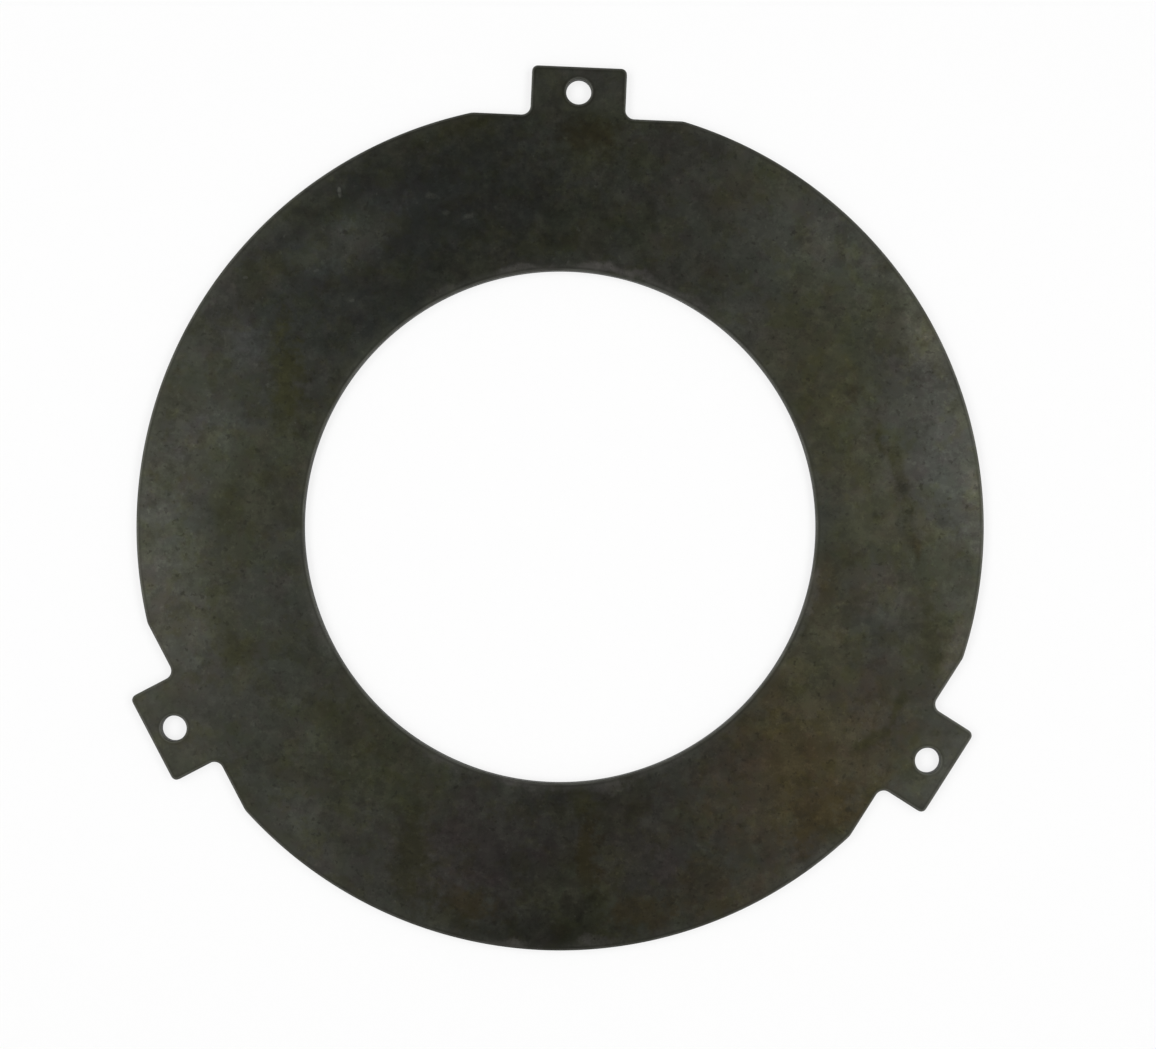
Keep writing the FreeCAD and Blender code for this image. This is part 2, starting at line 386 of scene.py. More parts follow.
@dataclass(frozen=True)
class OiledMildSteel:
    """Mild steel sheet, hot rolled and pickled, with a thin oxide and a film of old dried oil.

    To the eye it is a dull, dark grey-green metal with clouds of olive, brown and blue-black, a fine
    grain, and paler metal where the outer band, the metal beside the bore and the rim, and the sheared
    walls were rubbed. The pale die roll along every edge is a painted highlight with a painted shade
    line inside it, and the brighter outer band at the left and the right is partly painted sheen.

    Lengths are millimetres. Each noise has the size of its largest patches, and creep_reach is how
    far one of them moves the outline of a stain.
    """

    half_thickness: float
    bore_radius: float
    rim_radius: float
    burnished_land: float
    metallic: float = 0.9
    least_roughness: float = 0.31
    most_roughness: float = 0.43
    wall_roughness: float = 0.6
    bump_strength: float = 0.6
    bump_height: float = 0.02
    sheen_size: float = 6.0
    film_spacing: float = 70.0
    creep_size: float = 12.0
    creep_reach: float = 9.0
    ragged_size: float = 3.0
    stain_depth: float = 10.0
    edge_wear_size: float = 9.0
    shear_mark_size: float = 0.5

    def build(self) -> bpy.types.Material:
        """Make the material.

        Returns:
            The finish of the whole plate.
        """
        steel = bpy.data.materials.new("oiled_mild_steel")
        steel.use_nodes = True
        tree = steel.node_tree
        spot = add_node(tree, "ShaderNodeTexCoord", output="Object")
        place = add_node(tree, "ShaderNodeMapping", {"Vector": spot, "Scale": (1 / MM, 1 / MM, 1 / MM)})
        inset = add_node(tree, "ShaderNodeAttribute", output="Fac", attribute_name=EDGE_INSET)
        scale = add_node(tree, "ShaderNodeRGB")
        scale.default_value = linear_colour(Tone.SCALE.value)
        colour = self.stained(tree, place, scale, TONES, FADING)
        colour = self.filmed(tree, place, colour, CLOUDS)
        colour = self.stained(tree, place, colour, BLOTCHES, BROKEN)
        colour = self.filmed(tree, place, colour, MOTTLES)
        # rubbed bands, with painted shade and painted highlight along every edge
        colour = self.rubbed(tree, place, inset, colour)
        colour, wall = self.sheared(tree, place, inset, colour)

        sheen = add_node(
            tree, "ShaderNodeTexNoise",
            {"Vector": place, "Scale": 1 / self.sheen_size, "Detail": 6.0, "Roughness": 0.72}, output="Fac",
        )
        uneven = add_node(
            tree, "ShaderNodeMapRange",
            {"Value": sheen, "From Min": 0.3, "From Max": 0.7, "To Min": self.least_roughness,
             "To Max": self.most_roughness},
        )
        roughness = add_node(
            tree, "ShaderNodeMix", {"Factor": wall, "A": uneven, "B": self.wall_roughness}, data_type="FLOAT"
        )
        normal = add_node(
            tree, "ShaderNodeBump",
            {"Strength": self.bump_strength, "Distance": self.bump_height * MM, "Height": sheen},
        )
        shader = tree.nodes["Principled BSDF"]
        shader.inputs["Metallic"].default_value = self.metallic
        tree.links.new(colour, shader.inputs["Base Color"])
        tree.links.new(roughness, shader.inputs["Roughness"])
        tree.links.new(normal, shader.inputs["Normal"])
        return steel

    def filmed(self, tree: Tree, place: Socket, colour: Socket, films: tuple[Film, ...]) -> Socket:
        """Lay films over the whole plate, each with its own patches.

        Args:
            tree: the material's tree.
            place: position in millimetres.
            colour: the colour so far.
            films: the films, from the lowest up.

        Returns:
            The colour with the films.
        """
        for number, film in enumerate(films):
            # each film reads the noise at a place of its own, so no two share their patches
            apart = (self.film_spacing * number, 0.0, self.film_spacing * len(films))
            own_place = add_node(tree, "ShaderNodeMapping", {"Vector": place, "Location": apart})
            patches = add_node(
                tree, "ShaderNodeTexNoise",
                {"Vector": own_place, "Scale": 1 / film.size, "Detail": 4.0, "Roughness": film.roughness},
                output="Fac",
            )
            share = add_node(
                tree, "ShaderNodeMapRange",
                {"Value": patches, "From Min": film.start, "From Max": film.full, "To Max": film.strength},
                interpolation_type="SMOOTHSTEP", clamp=False,
            )
            colour = add_node(
                tree, "ShaderNodeMix", {"Factor": share, 6: colour, 7: linear_colour(film.tone.value)},
                output=2, data_type="RGBA", blend_type=film.lie.value,
            )
        return colour

    def stained(
        self, tree: Tree, place: Socket, colour: Socket, stains: tuple[Stain, ...], edge: StainEdge
    ) -> Socket:
        """Lay stains over the upper face, with edges that creep in and out.

        Args:
            tree: the material's tree.
            place: position in millimetres.
            colour: the colour so far.
            stains: the stains, from the lowest up.
            edge: how these stains end.

        Returns:
            The colour with the stains.
        """
        noise = add_node(
            tree, "ShaderNodeTexNoise", {"Vector": place, "Scale": 1 / self.creep_size, "Detail": 4.0},
            output="Color",
        )
        centred = add_node(
            tree, "ShaderNodeVectorMath", {0: noise, 1: (0.5, 0.5, 0.5)}, operation="SUBTRACT"
        )
        flat = (self.creep_reach, self.creep_reach, 0.0)
        crept = add_node(
            tree, "ShaderNodeVectorMath", {0: centred, 1: flat, 2: place}, operation="MULTIPLY_ADD"
        )
        height = add_node(tree, "ShaderNodeSeparateXYZ", {"Vector": place}, output="Z")
        lower = add_node(tree, "ShaderNodeMath", {0: height, 1: 0.0}, operation="LESS_THAN")
        patches = add_node(
            tree, "ShaderNodeTexNoise",
            {"Vector": place, "Scale": 1 / self.ragged_size, "Detail": 3.0, "Roughness": 0.6}, output="Fac",
        )
        # each gradient falls from 1 to nothing over this many times its stain's size
        reach = 3.0
        ragged = add_node(
            tree, "ShaderNodeMapRange",
            {"Value": patches, "To Min": reach - edge.ragged / 2, "To Max": reach + edge.ragged / 2},
            clamp=False,
        )
        # the lower face counts as far outside every stain
        far_outside = 10.0
        away = add_node(
            tree, "ShaderNodeMath", {0: lower, 1: far_outside, 2: ragged}, operation="MULTIPLY_ADD"
        )
        for stain in stains:
            angle = math.radians(stain.angle)
            centre = (stain.radius * math.cos(angle), stain.radius * math.sin(angle), self.half_thickness)
            turn = angle + math.radians(90 + stain.slant)
            local = add_node(
                tree, "ShaderNodeMapping",
                {"Vector": crept, "Location": centre, "Rotation": (0.0, 0.0, turn),
                 "Scale": (reach * stain.along, reach * stain.across, reach * self.stain_depth)},
                vector_type="TEXTURE",
            )
            nearness = add_node(
                tree, "ShaderNodeTexGradient", {"Vector": local}, output="Fac", gradient_type="SPHERICAL"
            )
            distance = add_node(
                tree, "ShaderNodeMath", {0: nearness, 1: -reach, 2: away}, operation="MULTIPLY_ADD"
            )
            share = add_node(
                tree, "ShaderNodeMapRange",
                {"Value": distance, "From Min": edge.outside, "From Max": edge.inside,
                 "To Max": stain.strength},
                interpolation_type="SMOOTHSTEP", clamp=False,
            )
            colour = add_node(
                tree, "ShaderNodeMix", {"Factor": share, 6: colour, 7: linear_colour(stain.tone.value)},
                output=2, data_type="RGBA",
            )
        return colour

    def rubbed(self, tree: Tree, place: Socket, inset: Socket, colour: Socket) -> Socket:
        """Pale the metal beside the bore and the rim, and paint a shade line and a highlight along every
        edge: a dark line inside the die roll, and the roll itself pale.

        Args:
            tree: the material's tree.
            place: position in millimetres.
            inset: distance in from the nearest edge line, in millimetres.
            colour: the colour so far.

        Returns:
            The colour with its edges.
        """
        flat_place = add_node(
            tree, "ShaderNodeVectorMath", {0: place, 1: (1.0, 1.0, 0.0)}, operation="MULTIPLY"
        )
        radius = add_node(tree, "ShaderNodeVectorMath", {0: flat_place}, output="Value", operation="LENGTH")
        worn = add_node(
            tree, "ShaderNodeTexNoise", {"Vector": place, "Scale": 1 / self.edge_wear_size, "Detail": 3.0},
            output="Fac",
        )
        least_worn = 0.4
        rub_start, rub_full = 3.0, 0.8
        # what is measured, the tone, where the band starts, where it is full, and its strength
        bands = (
            (radius, Tone.RUBBED, self.bore_radius + rub_start, self.bore_radius + rub_full, 0.35),
            (radius, Tone.RUBBED, self.rim_radius - rub_start, self.rim_radius - rub_full, 0.25),
            # painted shade: a dark line on the flat just inside each die roll
            (inset, Tone.GRIME, 1.35, 0.95, 0.3),
            # painted highlight: the die roll made pale along every edge
            (inset, Tone.ROLLED_EDGE, 0.75, 0.35, 0.6),
        )
        for distance, tone, start, full, strength in bands:
            uneven = add_node(
                tree, "ShaderNodeMapRange",
                {"Value": worn, "From Min": 0.35, "From Max": 0.6, "To Min": strength * least_worn,
                 "To Max": strength},
            )
            share = add_node(
                tree, "ShaderNodeMapRange",
                {"Value": distance, "From Min": start, "From Max": full, "To Max": uneven},
                interpolation_type="SMOOTHSTEP", clamp=False,
            )
            colour = add_node(
                tree, "ShaderNodeMix", {"Factor": share, 6: colour, 7: linear_colour(tone.value)},
                output=2, data_type="RGBA",
            )
        return colour

    def sheared(self, tree: Tree, place: Socket, inset: Socket, colour: Socket) -> tuple[Socket, Socket]:
        """Colour the cut walls: a bright burnished land on top, torn grey metal below.

        Args:
            tree: the material's tree.
            place: position in millimetres.
            inset: distance in from the nearest edge line, in millimetres.
            colour: the colour so far.

        Returns:
            The colour with its walls, and the share of wall at each place.
        """
        top = self.half_thickness
        height = add_node(tree, "ShaderNodeSeparateXYZ", {"Vector": place}, output="Z")
        # the wall starts where the die roll ends, close beside the edge line and below the face
        inset_start, inset_full = 0.3, 0.12
        depth_start, depth_full = 0.25, 0.5
        beside = add_node(
            tree, "ShaderNodeMapRange", {"Value": inset, "From Min": inset_start, "From Max": inset_full}
        )
        below = add_node(
            tree, "ShaderNodeMapRange",
            {"Value": height, "From Min": top - depth_start, "From Max": top - depth_full},
        )
        wall = add_node(tree, "ShaderNodeMath", {0: beside, 1: below}, operation="MULTIPLY")
        # the punch drags marks straight down the wall, so the pattern is stretched along Z
        drawn = add_node(tree, "ShaderNodeMapping", {"Vector": place, "Scale": (1.0, 1.0, 0.08)})
        marks = add_node(
            tree, "ShaderNodeTexNoise", {"Vector": drawn, "Scale": 1 / self.shear_mark_size, "Detail": 3.0},
            output="Fac",
        )
        # the land's foot wanders with the marks, about their middle
        land_foot = top - self.burnished_land
        wander = 0.8
        torn_end, land_start = 0.3, 0.5
        ragged = add_node(
            tree, "ShaderNodeMath", {0: marks, 1: wander, 2: height}, operation="MULTIPLY_ADD"
        )
        on_land = add_node(
            tree, "ShaderNodeMapRange",
            {"Value": ragged, "From Min": land_foot + torn_end, "From Max": land_foot + land_start},
        )
        walls = []
        for dark, pale in ((Tone.GRIME, Tone.SCALE), (Tone.SCALE, Tone.RUBBED)):
            walls.append(add_node(
                tree, "ShaderNodeMix",
                {"Factor": marks, 6: linear_colour(dark.value), 7: linear_colour(pale.value)},
                output=2, data_type="RGBA",
            ))
        torn, land = walls
        cut = add_node(
            tree, "ShaderNodeMix", {"Factor": on_land, 6: torn, 7: land}, output=2, data_type="RGBA"
        )
        dressed = add_node(
            tree, "ShaderNodeMix", {"Factor": wall, 6: colour, 7: cut}, output=2, data_type="RGBA"
        )
        return dressed, wall


@dataclass(frozen=True)
class SeparatorPlate:
    """The whole object: one flat ring blanked from sheet, with drive lugs and a hole in each.

    Lengths are metres. The first lug points along +Y and the plate lies at half thickness.
    """

    lug_count: int
    lug_tip: float
    half_lug_width: float
    half_thickness: float
    bore_radius: float
    hole_radius: float
    hole_centre: float
    rim_radius: float = 114.3 * MM
    flat_depth: float = 3.6 * MM
    root_radius: float = 2.4 * MM
    corner_radius: float = 1.6 * MM
    shoulder_radius: float = 5.0 * MM
    die_roll: float = 0.5 * MM
    burnished_land: float = 1.5 * MM
    fracture_taper: float = 0.06 * MM
    edge_break: float = 0.2 * MM
    apron: float = 1.4 * MM
    point_spacing: float = 0.4 * MM
    weld_distance: float = 0.001 * MM
    rim_points: int = 120
    hole_points: int = 72
    corner_cuts: int = 8
    roll_cuts: int = 6
    name: str = "separator_plate"

    @classmethod
    def from_frame(cls, record: Mapping[str, object]) -> "SeparatorPlate":
        """Take the plate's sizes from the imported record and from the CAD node's box.

        Args:
            record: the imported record.

        Returns:
            The plate, not yet built.
        """
        mounts = {mount["name"]: mount for mount in record["mounts"]}
        _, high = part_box(CAD_NODE)
        holes = mounts["lug_holes"]["dims"]
        return cls(
            lug_count=holes["count"],
            lug_tip=high.y,
            half_lug_width=mounts["drive_flank_right"]["pos_m"][0],
            half_thickness=high.z,
            bore_radius=mounts["bore"]["dims"]["r_mm"] * MM,
            hole_radius=holes["hole_r_mm"] * MM,
            hole_centre=holes["pcd_mm"] / 2 * MM,
        )

    def outline_tree(self) -> Tree:
        """Make the tree that draws the outer edge, counter-clockwise round the plate.

        Each sector starts at the right end of a lug's flat: flat end, root, tip corner, then the
        same three mirrored, then points along the rim as far as the next lug's flat.

        Returns:
            The tree.
        """
        corners = 6
        tree, size, result = start_tree("lugged_outline", OUTLINE_SIZES)
        rim, height = size["Rim Radius"], size["Flat Height"]
        share = add_node(tree, "ShaderNodeMath", {0: height, 1: rim}, operation="DIVIDE")
        foot_angle = add_node(tree, "ShaderNodeMath", {0: share}, operation="ARCCOSINE")
        sector = add_node(tree, "ShaderNodeMath", {0: math.tau, 1: size["Lug Count"]}, operation="DIVIDE")

        index = add_node(tree, "GeometryNodeInputIndex")
        per_sector = corners + self.rim_points
        step = add_node(tree, "FunctionNodeIntegerMath", {0: index, 1: per_sector}, operation="MODULO")
        lug = add_node(tree, "FunctionNodeIntegerMath", {0: index, 1: per_sector}, operation="DIVIDE_FLOOR")
        from_axis = add_node(tree, "ShaderNodeMath", {0: (corners - 1) / 2, 1: step}, operation="SUBTRACT")
        side = add_node(tree, "ShaderNodeMath", {0: from_axis}, operation="SIGN")
        distance = add_node(tree, "ShaderNodeMath", {0: from_axis}, operation="ABSOLUTE")
        floored = add_node(tree, "ShaderNodeMath", {0: distance}, operation="FLOOR")
        # 0 to 2 stand for the lug's corners from the tip out, and 3 for every point on the rim
        place = add_node(tree, "ShaderNodeMath", {0: floored, 1: corners / 2}, operation="MINIMUM")

        rim_step = add_node(tree, "ShaderNodeMath", {0: step, 1: corners - 1.0}, operation="SUBTRACT")
        rim_share = add_node(
            tree, "ShaderNodeMath", {0: rim_step, 1: self.rim_points + 1.0}, operation="DIVIDE"
        )
        feet = add_node(tree, "ShaderNodeMath", {0: foot_angle, 1: 2.0}, operation="MULTIPLY")
        rim_arc = add_node(tree, "ShaderNodeMath", {0: sector, 1: feet}, operation="SUBTRACT")
        rim_angle = add_node(
            tree, "ShaderNodeMath", {0: rim_share, 1: rim_arc, 2: foot_angle}, operation="MULTIPLY_ADD"
        )
        straight_up = add_node(tree, "ShaderNodeCombineXYZ", {"Y": rim})
        rim_places = []
        for angle in (foot_angle, rim_angle):
            clockwise = add_node(tree, "ShaderNodeMath", {0: angle, 1: -1.0}, operation="MULTIPLY")
            rim_places.append(add_node(
                tree, "ShaderNodeVectorRotate", {"Vector": straight_up, "Angle": clockwise},
                rotation_type="Z_AXIS",
            ))
        flat_end, on_rim = rim_places
        tip_corner = add_node(
            tree, "ShaderNodeCombineXYZ", {"X": size["Half Lug Width"], "Y": size["Lug Tip"]}
        )
        root = add_node(tree, "ShaderNodeCombineXYZ", {"X": size["Half Lug Width"], "Y": height})

        corner = add_node(tree, "GeometryNodeIndexSwitch", {"Index": place}, data_type="VECTOR")
        rounding = add_node(tree, "GeometryNodeIndexSwitch", {"Index": place}, data_type="FLOAT")
        # each switch starts with two items and needs four; on the rim the rounding stays 0
        radii = (size["Corner Radius"], size["Root Radius"], size["Shoulder Radius"])
        for choice, sources in ((corner, (tip_corner, root, flat_end, on_rim)), (rounding, radii)):
            choice.node.index_switch_items.new()
            choice.node.index_switch_items.new()
            for number, source in enumerate(sources):
                tree.links.new(source, choice.node.inputs[str(number)])

        mirror = add_node(tree, "ShaderNodeCombineXYZ", {"X": side, "Y": 1.0, "Z": 1.0})
        mirrored = add_node(tree, "ShaderNodeVectorMath", {0: corner, 1: mirror}, operation="MULTIPLY")
        turn = add_node(tree, "ShaderNodeMath", {0: lug, 1: sector}, operation="MULTIPLY")
        turned = add_node(
            tree, "ShaderNodeVectorRotate", {"Vector": mirrored, "Angle": turn}, rotation_type="Z_AXIS"
        )
        points = add_node(
            tree, "FunctionNodeIntegerMath", {0: size["Lug Count"], 1: per_sector}, operation="MULTIPLY"
        )
        loop = add_node(tree, "GeometryNodeCurvePrimitiveCircle", {"Resolution": points, "Radius": rim})
        corner_loop = add_node(tree, "GeometryNodeSetPosition", {"Geometry": loop, "Position": turned})
        rounded = add_node(
            tree, "GeometryNodeFilletCurve",
            {"Curve": corner_loop, "Count": self.corner_cuts, "Radius": rounding, "Limit Radius": True},
            mode="POLY",
        )
        even = add_node(
            tree, "GeometryNodeResampleCurve", {"Curve": rounded, "Length": size["Point Spacing"]},
            mode="LENGTH",
        )
        tree.links.new(even, result)
        return tree

    def edge_tree(self) -> Tree:
        """Make the tree that turns an edge line into the sheared edge of the sheet.

        The section runs from the upper face over the die roll, down the burnished land and the torn
        zone under it, and round the deburred lower edge on to the lower face. It keeps the distance
        in from the edge line, in millimetres, for the finish.

        Returns:
            The tree.
        """
        tree, size, result = start_tree("sheared_edge", {"Edge Line": GEOMETRY, **EDGE_SIZES})
        top, apron, taper = size["Half Thickness"], size["Apron"], size["Fracture Taper"]
        bottom = add_node(tree, "ShaderNodeMath", {0: top, 1: -1.0}, operation="MULTIPLY")
        # extra lines this many times the roll or the break away keep the faces and the walls flat
        past_roll_share, past_break_share = 1.2, 1.5
        near_roll = add_node(
            tree, "ShaderNodeMath", {0: size["Die Roll"], 1: past_roll_share}, operation="MULTIPLY"
        )
        near_break = add_node(
            tree, "ShaderNodeMath", {0: size["Edge Break"], 1: past_break_share}, operation="MULTIPLY"
        )
        under_roll = add_node(tree, "ShaderNodeMath", {0: top, 1: near_roll}, operation="SUBTRACT")
        land_foot = add_node(
            tree, "ShaderNodeMath", {0: top, 1: size["Burnished Land"]}, operation="SUBTRACT"
        )
        above_break = add_node(tree, "ShaderNodeMath", {0: bottom, 1: near_break}, operation="ADD")
        break_top = add_node(tree, "ShaderNodeMath", {0: bottom, 1: size["Edge Break"]}, operation="ADD")
        break_inset = add_node(tree, "ShaderNodeMath", {0: taper, 1: size["Edge Break"]}, operation="ADD")
        past_break = add_node(tree, "ShaderNodeMath", {0: taper, 1: near_break}, operation="ADD")
        section = (
            (apron, top), (near_roll, top), (0.0, top), (0.0, under_roll), (0.0, land_foot),
            (taper, above_break), (taper, break_top), (break_inset, bottom), (past_break, bottom),
            (apron, bottom),
        )
        roll_corner = 2

        index = add_node(tree, "GeometryNodeInputIndex")
        place = add_node(tree, "GeometryNodeIndexSwitch", {"Index": index}, data_type="VECTOR")
        for number, (inset, height) in enumerate(section):
            # the switch starts with two items
            if number > 1:
                place.node.index_switch_items.new()
            corner = add_node(tree, "ShaderNodeCombineXYZ", {"X": inset, "Y": height})
            tree.links.new(corner, place.node.inputs[str(number)])
        line = add_node(tree, "GeometryNodeCurvePrimitiveLine")
        corners = add_node(
            tree, "GeometryNodeResampleCurve", {"Curve": line, "Count": len(section)}, mode="COUNT"
        )
        placed = add_node(tree, "GeometryNodeSetPosition", {"Geometry": corners, "Position": place})
        at_roll = add_node(
            tree, "FunctionNodeCompare", {2: index, 3: roll_corner}, operation="EQUAL", data_type="INT"
        )
        radius = add_node(tree, "ShaderNodeMath", {0: at_roll, 1: size["Die Roll"]}, operation="MULTIPLY")
        rolled = add_node(
            tree, "GeometryNodeFilletCurve",
            {"Curve": placed, "Count": self.roll_cuts, "Radius": radius}, mode="POLY",
        )
        position = add_node(tree, "GeometryNodeInputPosition")
        inset = add_node(tree, "ShaderNodeSeparateXYZ", {"Vector": position}, output="X")
        inset_mm = add_node(tree, "ShaderNodeMath", {0: inset, 1: 1 / MM}, operation="MULTIPLY")
        marked = add_node(
            tree, "GeometryNodeStoreNamedAttribute",
            {"Geometry": rolled, "Name": EDGE_INSET, "Value": inset_mm}, data_type="FLOAT", domain="POINT",
        )
        level = add_node(tree, "GeometryNodeSetCurveNormal", {"Curve": size["Edge Line"]}, mode="Z_UP")
        wall = add_node(tree, "GeometryNodeCurveToMesh", {"Curve": level, "Profile Curve": marked})
        tree.links.new(wall, result)
        return tree

    def plate_tree(self) -> Tree:
        """Make the tree of the whole plate: every edge line, its sheared edge, and the two faces.

        Returns:
            The tree.
        """
        tree, size, result = start_tree("separator_plate", {
            **OUTLINE_SIZES, **EDGE_SIZES, "Bore Radius": FLOAT, "Hole Radius": FLOAT,
            "Hole Centre": FLOAT, "Steel": MATERIAL,
        })
        outline_group = self.outline_tree()
        outline = add_node(tree, "GeometryNodeGroup", node_tree=outline_group)
        edge_group = self.edge_tree()
        edge = add_node(tree, "GeometryNodeGroup", node_tree=edge_group)
        for group in (outline.node, edge.node):
            for socket in group.inputs:
                if socket.name in size:
                    tree.links.new(size[socket.name], socket)

        bore_length = add_node(
            tree, "ShaderNodeMath", {0: size["Bore Radius"], 1: math.tau}, operation="MULTIPLY"
        )
        bore_points = add_node(
            tree, "ShaderNodeMath", {0: bore_length, 1: size["Point Spacing"]}, operation="DIVIDE"
        )
        bore = add_node(
            tree, "GeometryNodeCurvePrimitiveCircle",
            {"Resolution": bore_points, "Radius": size["Bore Radius"]},
        )
        hole = add_node(
            tree, "GeometryNodeCurvePrimitiveCircle",
            {"Resolution": self.hole_points, "Radius": size["Hole Radius"]},
        )
        reach = add_node(tree, "ShaderNodeCombineXYZ", {"Y": size["Hole Centre"]})
        hole_out = add_node(tree, "GeometryNodeTransform", {"Geometry": hole, "Translation": reach})
        centres = add_node(tree, "GeometryNodePoints", {"Count": size["Lug Count"]})
        index = add_node(tree, "GeometryNodeInputIndex")
        sector = add_node(tree, "ShaderNodeMath", {0: math.tau, 1: size["Lug Count"]}, operation="DIVIDE")
        turn = add_node(tree, "ShaderNodeMath", {0: index, 1: sector}, operation="MULTIPLY")
        rotation = add_node(tree, "ShaderNodeCombineXYZ", {"Z": turn})
        holes = add_node(
            tree, "GeometryNodeInstanceOnPoints",
            {"Points": centres, "Instance": hole_out, "Rotation": rotation},
        )
        real_holes = add_node(tree, "GeometryNodeRealizeInstances", {"Geometry": holes})
        openings = add_node(tree, "GeometryNodeJoinGeometry", {"Geometry": [bore, real_holes]})
        clockwise = add_node(tree, "GeometryNodeReverseCurve", {"Curve": outline})
        edge_lines = add_node(tree, "GeometryNodeJoinGeometry", {"Geometry": [clockwise, openings]})
        tree.links.new(edge_lines, edge.node.inputs["Edge Line"])

        faces_beside = add_node(tree, "GeometryNodeInputMeshEdgeNeighbors")
        open_edge = add_node(
            tree, "FunctionNodeCompare", {2: faces_beside, 3: 1}, operation="EQUAL", data_type="INT"
        )
        position = add_node(tree, "GeometryNodeInputPosition")
        height = add_node(tree, "ShaderNodeSeparateXYZ", {"Vector": position}, output="Z")
        apron_mm = add_node(tree, "ShaderNodeMath", {0: size["Apron"], 1: 1 / MM}, operation="MULTIPLY")
        faces = []
        for side, comparison in ((1.0, "GREATER_THAN"), (-1.0, "LESS_THAN")):
            this_side = add_node(
                tree, "FunctionNodeCompare", {0: height, 1: 0.0}, operation=comparison, data_type="FLOAT"
            )
            rim_edge = add_node(
                tree, "FunctionNodeBooleanMath", {0: open_edge, 1: this_side}, operation="AND"
            )
            loops = add_node(tree, "GeometryNodeMeshToCurve", {"Mesh": edge, "Selection": rim_edge})
            sheet = add_node(tree, "GeometryNodeFillCurve", {"Curve": loops}, mode="TRIANGLES")
            lift = add_node(
                tree, "ShaderNodeMath", {0: size["Half Thickness"], 1: side}, operation="MULTIPLY"
            )
            offset = add_node(tree, "ShaderNodeCombineXYZ", {"Z": lift})
            lifted = add_node(tree, "GeometryNodeSetPosition", {"Geometry": sheet, "Offset": offset})
            faces.append(add_node(
                tree, "GeometryNodeStoreNamedAttribute",
                {"Geometry": lifted, "Name": EDGE_INSET, "Value": apron_mm},
                data_type="FLOAT", domain="POINT",
            ))
        upper, lower = faces
        lower_out = add_node(tree, "GeometryNodeFlipFaces", {"Mesh": lower})
        shell = add_node(tree, "GeometryNodeJoinGeometry", {"Geometry": [edge, upper, lower_out]})
        closed = add_node(
            tree, "GeometryNodeMergeByDistance", {"Geometry": shell, "Distance": self.weld_distance}
        )
        smooth = add_node(tree, "GeometryNodeSetShadeSmooth", {"Geometry": closed, "Shade Smooth": True})
        solid = add_node(tree, "GeometryNodeRealizeInstances", {"Geometry": smooth})
        dressed = add_node(tree, "GeometryNodeSetMaterial", {"Geometry": solid, "Material": size["Steel"]})
        tree.links.new(dressed, result)
        return tree

    def build(self, steel: bpy.types.Material) -> bpy.types.Object:
        """Build the plate as one plain mesh in place of its CAD node.

        Args:
            steel: the finish of the whole plate.

        Returns:
            The finished piece.
        """
        tree = self.plate_tree()
        blank = bpy.data.objects.new("plate_blank", bpy.data.meshes.new("plate_blank"))
        bpy.context.scene.collection.objects.link(blank)
        modifier = blank.modifiers.new("plate", "NODES")
        modifier.node_group = tree
        # the tree's inputs are named after the attributes that fill them
        values = {name.replace("_", " ").title(): value for name, value in vars(self).items()}
        values |= {"Flat Height": self.rim_radius - self.flat_depth, "Steel": steel}
        for item in tree.interface.items_tree:
            if item.in_out == "INPUT":
                modifier[item.identifier] = values[item.name]
        evaluated = blank.evaluated_get(bpy.context.evaluated_depsgraph_get())
        mesh = bpy.data.meshes.new_from_object(evaluated)
        mesh.name = self.name
        bpy.data.objects.remove(blank)
        plate = bpy.data.objects.new(self.name, mesh)
        bpy.context.scene.collection.objects.link(plate)
        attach(plate, "root")
        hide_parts(CAD_NODE)
        return plate


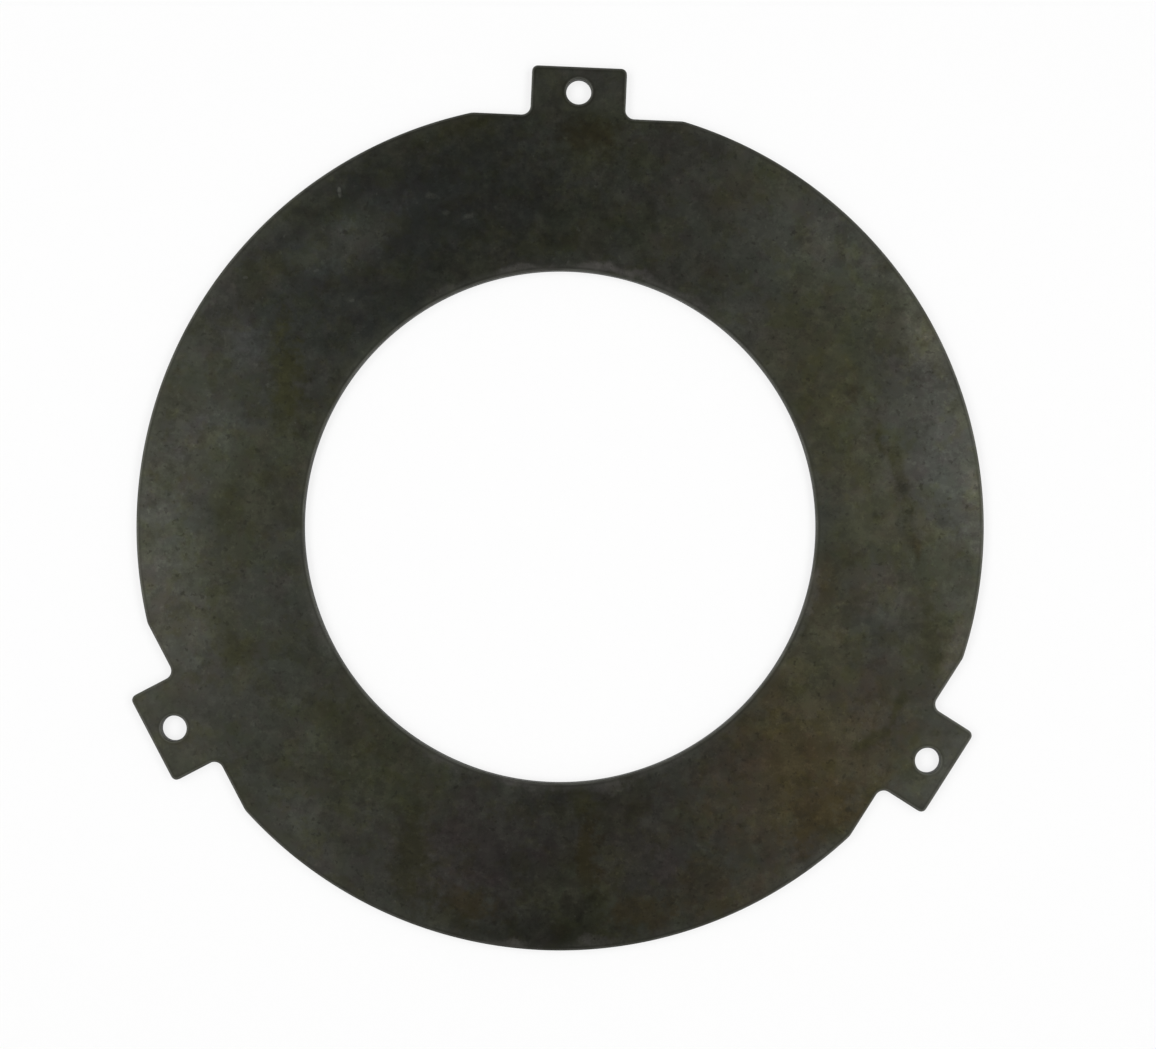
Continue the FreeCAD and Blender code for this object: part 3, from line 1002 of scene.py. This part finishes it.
@dataclass(frozen=True)
class PhotoTable:
    """White table, plain soft light and the camera straight above.

    Lengths are metres, but for the sensor's width, which Blender takes in millimetres.
    """

    table_height: float
    inner_radius: float = 0.5
    table_radius: float = 2.2
    sweep_radius: float = 0.8
    sweep_top: float = 1.8
    card_colour: str = "#FBFBFB"
    card_roughness: float = 0.9
    card_glow: float = 0.75
    room_light: float = 0.35
    lamp_side: float = 0.5
    lamp_height: float = 0.85
    lamp_width: float = 0.4
    lamp_length: float = 1.0
    lamp_power: float = 4.3
    camera_height: float = 0.65
    sensor_width: float = 36.0
    photo_width: float = MM_PER_PIXEL * PHOTO_WIDTH * MM
    aim: tuple[float, float] = (4.79 * MM, 0.84 * MM)
    roll: float = math.radians(2.45)

    def build(self) -> None:
        """Build the table, the room, the lamps and the camera."""
        self.lay_table()
        self.light_room()
        self.hang_lamps()
        self.place_camera()

    def lay_table(self) -> None:
        """Lay the white table under the plate, with its card swept up all round.

        The card shows white to the camera and in metal, and keeps the plate's shadow.
        """
        around, up = 96, 12
        quarter = [math.radians(90 * step / up) for step in range(up + 1)]
        profile = [(0.0, 0.0), (self.inner_radius, 0.0)]
        profile += [
            (self.table_radius + self.sweep_radius * math.sin(turn),
             self.sweep_radius * (1 - math.cos(turn)))
            for turn in quarter
        ]
        profile.append((self.table_radius + self.sweep_radius, self.sweep_top))
        points = [(0.0, 0.0, self.table_height)]
        for radius, height in profile[1:]:
            for step in range(around):
                turn = math.tau * step / around
                points.append((radius * math.cos(turn), radius * math.sin(turn), self.table_height + height))
        faces = [(0, 1 + step, 1 + (step + 1) % around) for step in range(around)]
        for ring in range(len(profile) - 2):
            inner, outer = 1 + ring * around, 1 + (ring + 1) * around
            for step in range(around):
                after = (step + 1) % around
                faces.append((inner + step, outer + step, outer + after, inner + after))
        mesh = bpy.data.meshes.new("table")
        mesh.from_pydata(points, [], faces)
        mesh.shade_smooth()
        table = bpy.data.objects.new("table", mesh)
        bpy.context.scene.collection.objects.link(table)

        white = bpy.data.materials.new("white_card")
        white.use_nodes = True
        tree = white.node_tree
        card = tree.nodes["Principled BSDF"]
        card.inputs["Base Color"].default_value = linear_colour(self.card_colour)
        card.inputs["Roughness"].default_value = self.card_roughness
        glow = add_node(tree, "ShaderNodeEmission", {"Strength": 1.0})
        rays = add_node(tree, "ShaderNodeLightPath").node.outputs
        seen = rays["Is Camera Ray"]
        for other in ("Is Glossy Ray", "Is Transmission Ray"):
            seen = add_node(tree, "ShaderNodeMath", {0: seen, 1: rays[other]}, operation="MAXIMUM")
        share = add_node(tree, "ShaderNodeMath", {0: seen, 1: self.card_glow}, operation="MULTIPLY")
        mixed = add_node(tree, "ShaderNodeMixShader", {0: share, 1: card.outputs["BSDF"], 2: glow})
        tree.links.new(mixed, tree.nodes["Material Output"].inputs["Surface"])
        table.data.materials.append(white)

    def light_room(self) -> None:
        """Fill the room with plain, even white light."""
        world = bpy.data.worlds.new("white_room")
        bpy.context.scene.world = world
        world.use_nodes = True
        background = world.node_tree.nodes["Background"]
        background.inputs["Color"].default_value = (1.0, 1.0, 1.0, 1.0)
        background.inputs["Strength"].default_value = self.room_light

    def hang_lamps(self) -> None:
        """Hang a soft box on either side, as on a copy stand."""
        for name, side in (("left_soft_box", -1), ("right_soft_box", 1)):
            lamp = bpy.data.lights.new(name, "AREA")
            lamp.shape = "RECTANGLE"
            lamp.size = self.lamp_width
            lamp.size_y = self.lamp_length
            lamp.energy = self.lamp_power
            box = bpy.data.objects.new(name, lamp)
            bpy.context.scene.collection.objects.link(box)
            box.location = (side * self.lamp_side, 0.0, self.lamp_height)
            box.rotation_mode = "QUATERNION"
            box.rotation_quaternion = (-box.location).to_track_quat("-Z", "X")
            box.visible_camera = False

    def place_camera(self) -> None:
        """Place the camera over the plate, turned and aimed as the photograph was taken."""
        camera = bpy.data.cameras.new("copy_camera")
        camera.sensor_width = self.sensor_width
        camera.lens = self.sensor_width * self.camera_height / self.photo_width
        stand = bpy.data.objects.new("copy_camera", camera)
        bpy.context.scene.collection.objects.link(stand)
        top = -self.table_height
        stand.location = (self.aim[0], self.aim[1], top + self.camera_height)
        stand.rotation_euler = (0.0, 0.0, self.roll)
        bpy.context.scene.camera = stand


def main() -> None:
    """Build the plate and the table it lies on, and report each piece."""
    logging.basicConfig(level=logging.INFO, format="%(message)s")
    scene = bpy.context.scene
    scene.view_settings.view_transform = "Standard"

    plate = SeparatorPlate.from_frame(frame["record"])
    steel = OiledMildSteel(
        half_thickness=plate.half_thickness / MM,
        bore_radius=plate.bore_radius / MM,
        rim_radius=plate.rim_radius / MM,
        burnished_land=plate.burnished_land / MM,
    ).build()
    piece = plate.build(steel)
    log.info("%s: %d faces", piece.name, len(piece.data.polygons))

    PhotoTable(table_height=-plate.half_thickness).build()
    log.info("table, lamps and camera are in place")


if __name__ == "__main__":
    main()
